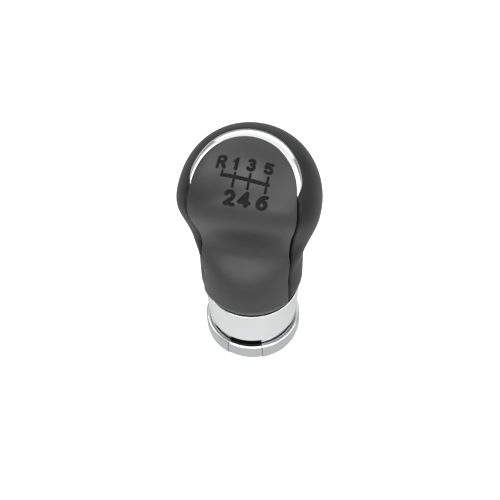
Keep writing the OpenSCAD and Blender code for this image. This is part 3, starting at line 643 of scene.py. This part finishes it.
cover_skin = cover_surface(-PROUD)
cover_normals = grid_normals(cover_skin)
cover_rim = np.concatenate([cover_skin[:, 0], cover_skin[:, -1][::-1]])
drop = round_drop(path_distance(cover_skin, cover_rim[::2]), COVER_EDGE)
drop = np.maximum(drop, hem(cover_skin[..., 2]))
pattern_sink = pattern_depth(cover_skin)
drop = drop + pattern_sink
cover_outer = cover_skin - cover_normals * drop[..., None]
cover_inner = cover_surface(WALL)
posts = []
post_turn = math.degrees(math.atan2(POST_X, POST_AHEAD))
post_front = float(slice_point(POST_Z, post_turn, WALL / 2)[..., 1])
for side in (-1, 1):
    start = [side * POST_X, post_front, POST_Z]
    posts.append(rod_mesh([side * POST_X, PLATE_Y0 - SEAT_GAP, POST_Z], start, POST_R))
    posts.append(rod_mesh([side * POST_X, PLATE_Y1 - SEAT_GAP, POST_Z], start, STUD_R))
# The strokes' depth, as a share of SUNK, becomes the painted shade in the sunk strokes
make_piece("grip_front_cover", join_meshes(slab_mesh(cover_outer, cover_inner, 6), *posts),
           "front_cover", soft_cover, sunk=(pattern_sink / SUNK).ravel())

# Rear shell. Its rim follows the cover's edge up the neck, then the arch to the top
rim_z = level_rows(SHELL_STEP)
rim_e = np.linspace(0, COVER_TILT - 4, 24)
rim_b = np.concatenate([np.linspace(FAN_END, 13, 48), np.array([11, 9, 7, 5, 3.5, 2.2, 1.2, 0.6])])
rim = np.concatenate([
    slice_point(rim_z, straight_turn(rim_z) + SEAM_TURN),
    ray_point(aim(rim_e, cover_lean(rim_e) + SEAM_TURN)),
    ray_point(fan(rim_b, arch_fan(rim_b)))])
rim_u = np.array([0, 0.1, 0.4, 0.75, 0.85, 0.95, 1.1, 1.3, 1.55, 1.85, 2.2, 2.8, 3.7, 5.0])
rim_u = rim_u / SHELL_ARC
around = np.concatenate([rim_u, np.arange(0.07, 0.931, 0.0125), (1 - rim_u)[::-1]])
rim_turn = turn_of(rim)
shell_z = rim[:, 2][:, None]
shell_turn = rim_turn[:, None] + (360 - 2 * rim_turn[:, None]) * around[None, :]
shell_skin = slice_point(shell_z, shell_turn)
shell_normals = grid_normals(shell_skin)
shell_rim = np.concatenate([shell_skin[:, 0], shell_skin[:, -1][::-1]])
drop = round_drop(path_distance(shell_skin, shell_rim[::2]), EDGE)
drop = np.maximum(drop, hem(shell_skin[..., 2]))
beside_cover = len(rim_z) + len(rim_e)
roll = np.minimum(path_distance(shell_skin, shell_skin[:beside_cover, 0][::2]),
                  path_distance(shell_skin, shell_skin[:beside_cover, -1][::2]))
roll = np.clip(1 - (roll - LEDGE_WIDE) / RIM_ROUND, 0, 1)
drop = np.maximum(drop, LEDGE_DEEP * (1 - np.sqrt(1 - roll * roll)))
shell_outer = shell_skin - shell_normals * drop[..., None]
shell_inner = shell_skin - shell_normals * WALL
bosses = [rod_mesh([0, PLATE_Y1 + SEAT_GAP, z], [0, float(back_reach(np.array(z), WALL / 2)), z],
                   BOSS_R, BOSS_BORE) for z in SCREW_Z]
make_piece("grip_rear_shell", join_meshes(slab_mesh(shell_outer, shell_inner, 4), *bosses),
           "rear_shell", soft_shell)

# Bright arch: a crowned face between two edges, with a lip that reaches under the shell
ARCH_ROWS, ARCH_SHOULDER, ARCH_DROP = 241, 0.86, 0.22
arch_b = np.linspace(-FAN_END, FAN_END, ARCH_ROWS)
t0 = cover_fan(arch_b) + SEAM_TURN
t1 = arch_fan(arch_b) - SEAM_TURN
face_u = np.array([-1, -0.985, -0.94, -0.86, -0.7, -0.45, -0.2, 0, 0.2, 0.45, 0.7, 0.86, 0.94, 0.985, 1])
under = WALL + 2 * SEAT_GAP
arch_columns = []
for u in face_u:
    lean = (t0 + t1 + u * (t1 - t0)) / 2
    rounded = ARCH_DROP * max(0.0, (abs(u) - ARCH_SHOULDER) / (1 - ARCH_SHOULDER)) ** 2
    depth = ARCH_CROWN * (u * u - 0.5) + rounded
    arch_columns.append(ray_point(fan(arch_b, lean), np.full(ARCH_ROWS, depth)))
for lean, depth in ((t1, under), (t1 + ARCH_GRIP, under),
                    (t1 + ARCH_GRIP, under + ARCH_T), (t0, under + ARCH_T)):
    arch_columns.append(ray_point(fan(arch_b, lean), np.full(ARCH_ROWS, depth)))
arch_grid = np.stack(arch_columns, 1)
n, m = arch_grid.shape[:2]
arch_faces = [(k * m + s, (k + 1) * m + s, (k + 1) * m + (s + 1) % m, k * m + (s + 1) % m)
              for k in range(n - 1) for s in range(m)]
arch_faces += [tuple(range(m))[::-1], tuple((n - 1) * m + s for s in range(m))]
make_piece("bright_arch", (arch_grid.reshape(-1, 3), arch_faces), "arch_trim", plated, 40)

# Collar band. The corners of an outline are radius, height and rounding.
BAND_Z0, THROAT_Z = 10.0, 6.5
BAND_TOP_R, BAND_LOW_R, THROAT_R, THROAT_IN_R = 17.0, 16.4, 15.2, 14.2
CARRIER_R, BAND_IN_R, LIP_Z, WINDOW_TURN = 12.0, 15.5, COLLAR_TOP - 1.0, 22.0
band_outline = fillet([
    (THROAT_R - 0.3, THROAT_Z, 0.1), (THROAT_R + 0.1, THROAT_Z + 0.5, 0.1), (THROAT_R - 0.7, BAND_Z0, 0.05),
    (BAND_LOW_R, BAND_Z0, 0.3), (BAND_TOP_R, COLLAR_TOP, 0.3), (CARRIER_R, COLLAR_TOP, 0.1),
    (CARRIER_R, LIP_Z, 0.1), (BAND_IN_R, LIP_Z, 0.2), (BAND_IN_R, BAND_Z0 + 1, 0.2),
    (THROAT_IN_R, BAND_Z0 + 1, 0.2), (THROAT_IN_R, THROAT_Z, 0.15)])


def throat_window(grid):
    """Open the throat behind the pull panel, where the dark carrier shows."""
    turn = np.degrees(np.arctan2(grid[..., 0], -grid[..., 1]))
    out = grid.copy()
    open_here = (np.abs(turn) < WINDOW_TURN) & (grid[..., 2] < BAND_Z0)
    out[..., 2] = np.where(open_here, BAND_Z0, grid[..., 2])
    return out


make_piece("collar_upper_band",
           revolve(band_outline, -180, 180, 256, throat_window, (-WINDOW_TURN, WINDOW_TURN)),
           "collar_band", plated, 50)

# Lift ring and pull panel
RING_R, RING_IN_R, LEDGE_R, LEDGE_Z0, LEDGE_Z1 = 17.6, 15.65, 14.6, 2.4, 3.4
PANEL_TURN = 20.9
RING_SEAM_TURN = math.degrees(SEAM / RING_R)
SCOOP_R, SCOOP_DEEP = 4.0, 0.6
# Rim and inner ledge, the same on ring and panel
ring_rim = [(RING_R, RING_TOP, 0.9), (RING_IN_R, RING_TOP, 0.5), (RING_IN_R, LEDGE_Z1, 0.1),
            (LEDGE_R, LEDGE_Z1, 0.15), (LEDGE_R, LEDGE_Z0, 0.15), (RING_IN_R, LEDGE_Z0, 0.1)]
ring_outline = fillet([(RING_IN_R, 0, 0.2), (RING_R - 0.3, 0, 0.3), (RING_R, 1.6, 3)] + ring_rim)


def finger_scoop(grid):
    """Press the points inside the scoop's cylinder out to it."""
    centre_y = SCOOP_DEEP - RING_R - SCOOP_R
    dy, dz = grid[..., 1] - centre_y, grid[..., 2]
    reach = np.hypot(dy, dz)
    grow = np.maximum(reach, SCOOP_R) / np.maximum(reach, TINY)
    out = grid.copy()
    out[..., 1] = centre_y + dy * grow
    return out


ring_start = PANEL_TURN + RING_SEAM_TURN
make_piece("collar_lift_ring", revolve(ring_outline, ring_start, 360 - ring_start, 230),
           "lift_ring", satin, 50)
panel_outline = fillet([(RING_IN_R, 0, 0.1), (RING_R - 0.7, 0, 0.05), (RING_R - 0.1, 1.6, 0.3),
                        (RING_R, 2.0, 0.1), (RING_R, 2.4, 0.1)] + ring_rim)
make_piece("ring_pull_panel", revolve(panel_outline, -PANEL_TURN, PANEL_TURN, 60, finger_scoop),
           "pull_panel", satin, 50)

# Floor, light and camera
FLOOR, FLOOR_GLOW, SKY_FILL = 3.0, 0.9, 0.2
scene = bpy.context.scene
floor_mesh = bpy.data.meshes.new("floor")
floor_mesh.from_pydata([(-FLOOR, -FLOOR, 0), (FLOOR, -FLOOR, 0), (FLOOR, FLOOR, 0), (-FLOOR, FLOOR, 0)],
                       [], [(0, 1, 2, 3)])
floor = bpy.data.objects.new("floor", floor_mesh)
scene.collection.objects.link(floor)
floor_look, floor_tree, floor_bsdf = new_material("white_floor")
floor_bsdf.inputs["Base Color"].default_value = (0.8, 0.8, 0.8, 1)
floor_bsdf.inputs["Roughness"].default_value = 0.9
floor_bsdf.inputs["Specular IOR Level"].default_value = 0.1
floor_path = floor_tree.nodes.new("ShaderNodeLightPath")
floor_glow = floor_tree.nodes.new("ShaderNodeEmission")
floor_sum = floor_tree.nodes.new("ShaderNodeAddShader")
floor_gain = floor_tree.nodes.new("ShaderNodeMath")
floor_gain.operation = "MULTIPLY"
floor_gain.inputs[1].default_value = FLOOR_GLOW
floor_tree.links.new(floor_path.outputs["Is Camera Ray"], floor_gain.inputs[0])
floor_tree.links.new(floor_gain.outputs[0], floor_glow.inputs["Strength"])
floor_tree.links.new(floor_bsdf.outputs[0], floor_sum.inputs[0])
floor_tree.links.new(floor_glow.outputs[0], floor_sum.inputs[1])
floor_tree.links.new(floor_sum.outputs[0], floor_tree.nodes["Material Output"].inputs["Surface"])
floor_mesh.materials.append(floor_look)

# White for the camera, an even fill for diffuse light, and a dome for what bright metal mirrors
world = bpy.data.worlds.new("studio")
world.use_nodes = True
scene.world = world
sky = world.node_tree
sky_glow = sky.nodes["Background"]
sky_path = sky.nodes.new("ShaderNodeLightPath")
sky_mix = sky.nodes.new("ShaderNodeMix")
sky_mix.data_type = "RGBA"
sky_mix.inputs["B"].default_value = (1, 1, 1, 1)
sky_place = sky.nodes.new("ShaderNodeTexCoord")
sky_split = sky.nodes.new("ShaderNodeSeparateXYZ")
sky_dome = sky.nodes.new("ShaderNodeValToRGB")
# Height of the direction (the sine of its elevation) and the dome's brightness there
for height, level in ((0.0, 0.3), (0.3, 0.35), (0.55, 1.0)):
    stop = sky_dome.color_ramp.elements.new(height) if height > 0 else sky_dome.color_ramp.elements[0]
    stop.color = (level, level, level, 1)
sky.links.new(sky_place.outputs["Generated"], sky_split.inputs["Vector"])
sky.links.new(sky_split.outputs["Z"], sky_dome.inputs["Fac"])
sky_fill = sky.nodes.new("ShaderNodeMix")
sky_fill.data_type = "RGBA"
sky_fill.inputs["B"].default_value = (SKY_FILL, SKY_FILL, SKY_FILL, 1)
sky.links.new(sky_path.outputs["Is Diffuse Ray"], sky_fill.inputs["Factor"])
sky.links.new(sky_dome.outputs["Color"], sky_fill.inputs["A"])
sky.links.new(sky_fill.outputs["Result"], sky_mix.inputs["A"])
sky.links.new(sky_path.outputs["Is Camera Ray"], sky_mix.inputs["Factor"])
sky.links.new(sky_mix.outputs["Result"], sky_glow.inputs["Color"])


MIDDLE = Vector((0, 0, 0.05))


def studio_place(azimuth, elevation, distance):
    """Place seen from the knob: azimuth from the driver's side to their right, in degrees."""
    a, e = math.radians(azimuth), math.radians(elevation)
    return MIDDLE + distance * Vector((math.sin(a) * math.cos(e), -math.cos(a) * math.cos(e), math.sin(e)))


def softbox(name, place, size, power):
    """Rectangular lamp that faces the knob's middle."""
    light = bpy.data.lights.new(name, "AREA")
    light.shape = "RECTANGLE"
    light.size, light.size_y = size
    light.energy = power
    holder = bpy.data.objects.new(name, light)
    scene.collection.objects.link(holder)
    holder.location = place
    holder.rotation_mode = "QUATERNION"
    holder.rotation_quaternion = (MIDDLE - place).to_track_quat("-Z", "Y")


# Azimuth, elevation and distance, width and height in metres, and power in watts
softbox("key", studio_place(-4, 73, 0.85), (0.72, 0.56), 3.4)
softbox("right", studio_place(80, 28, 0.9), (1.1, 0.5), 2.9)
softbox("front", studio_place(8, 15, 0.9), (1.8, 0.24), 5.0)
softbox("left", studio_place(-98, 38, 0.9), (0.5, 0.5), 1.4)
softbox("back", studio_place(180, 25, 0.9), (1.6, 0.45), 2.6)

# The camera stands 50 degrees up and 11 degrees to the right of the driver; focal length and shift
# are in pixels of a picture 500 wide
AZIMUTH, ELEVATION, ROLL = math.radians(11.5), math.radians(50.4), math.radians(1.58)
DISTANCE, TARGET = 0.3182, Vector((0, 0, 0.04158))
PICTURE, FOCAL, SHIFT_X, SHIFT_Y, SENSOR = 500, 912.0, -1.4, 1.0, 36.0
right = Vector((math.cos(AZIMUTH), math.sin(AZIMUTH), 0))
up = Vector((-math.sin(AZIMUTH) * math.sin(ELEVATION), math.cos(AZIMUTH) * math.sin(ELEVATION),
             math.cos(ELEVATION)))
back = right.cross(up)
camera_data = bpy.data.cameras.new("camera")
camera_data.sensor_width = SENSOR
camera_data.lens = SENSOR * FOCAL / PICTURE
camera_data.shift_x, camera_data.shift_y = SHIFT_X / PICTURE, SHIFT_Y / PICTURE
camera_data.clip_start, camera_data.clip_end = 0.01, 20
camera = bpy.data.objects.new("camera", camera_data)
scene.collection.objects.link(camera)
scene.camera = camera
cos_roll, sin_roll = math.cos(ROLL), math.sin(ROLL)
axis_x, axis_y = right * cos_roll - up * sin_roll, right * sin_roll + up * cos_roll
spot = TARGET + back * DISTANCE
camera.matrix_world = Matrix([[axis_x[r], axis_y[r], back[r], spot[r]] for r in range(3)] + [[0, 0, 0, 1]])
scene.view_settings.view_transform = "Standard"
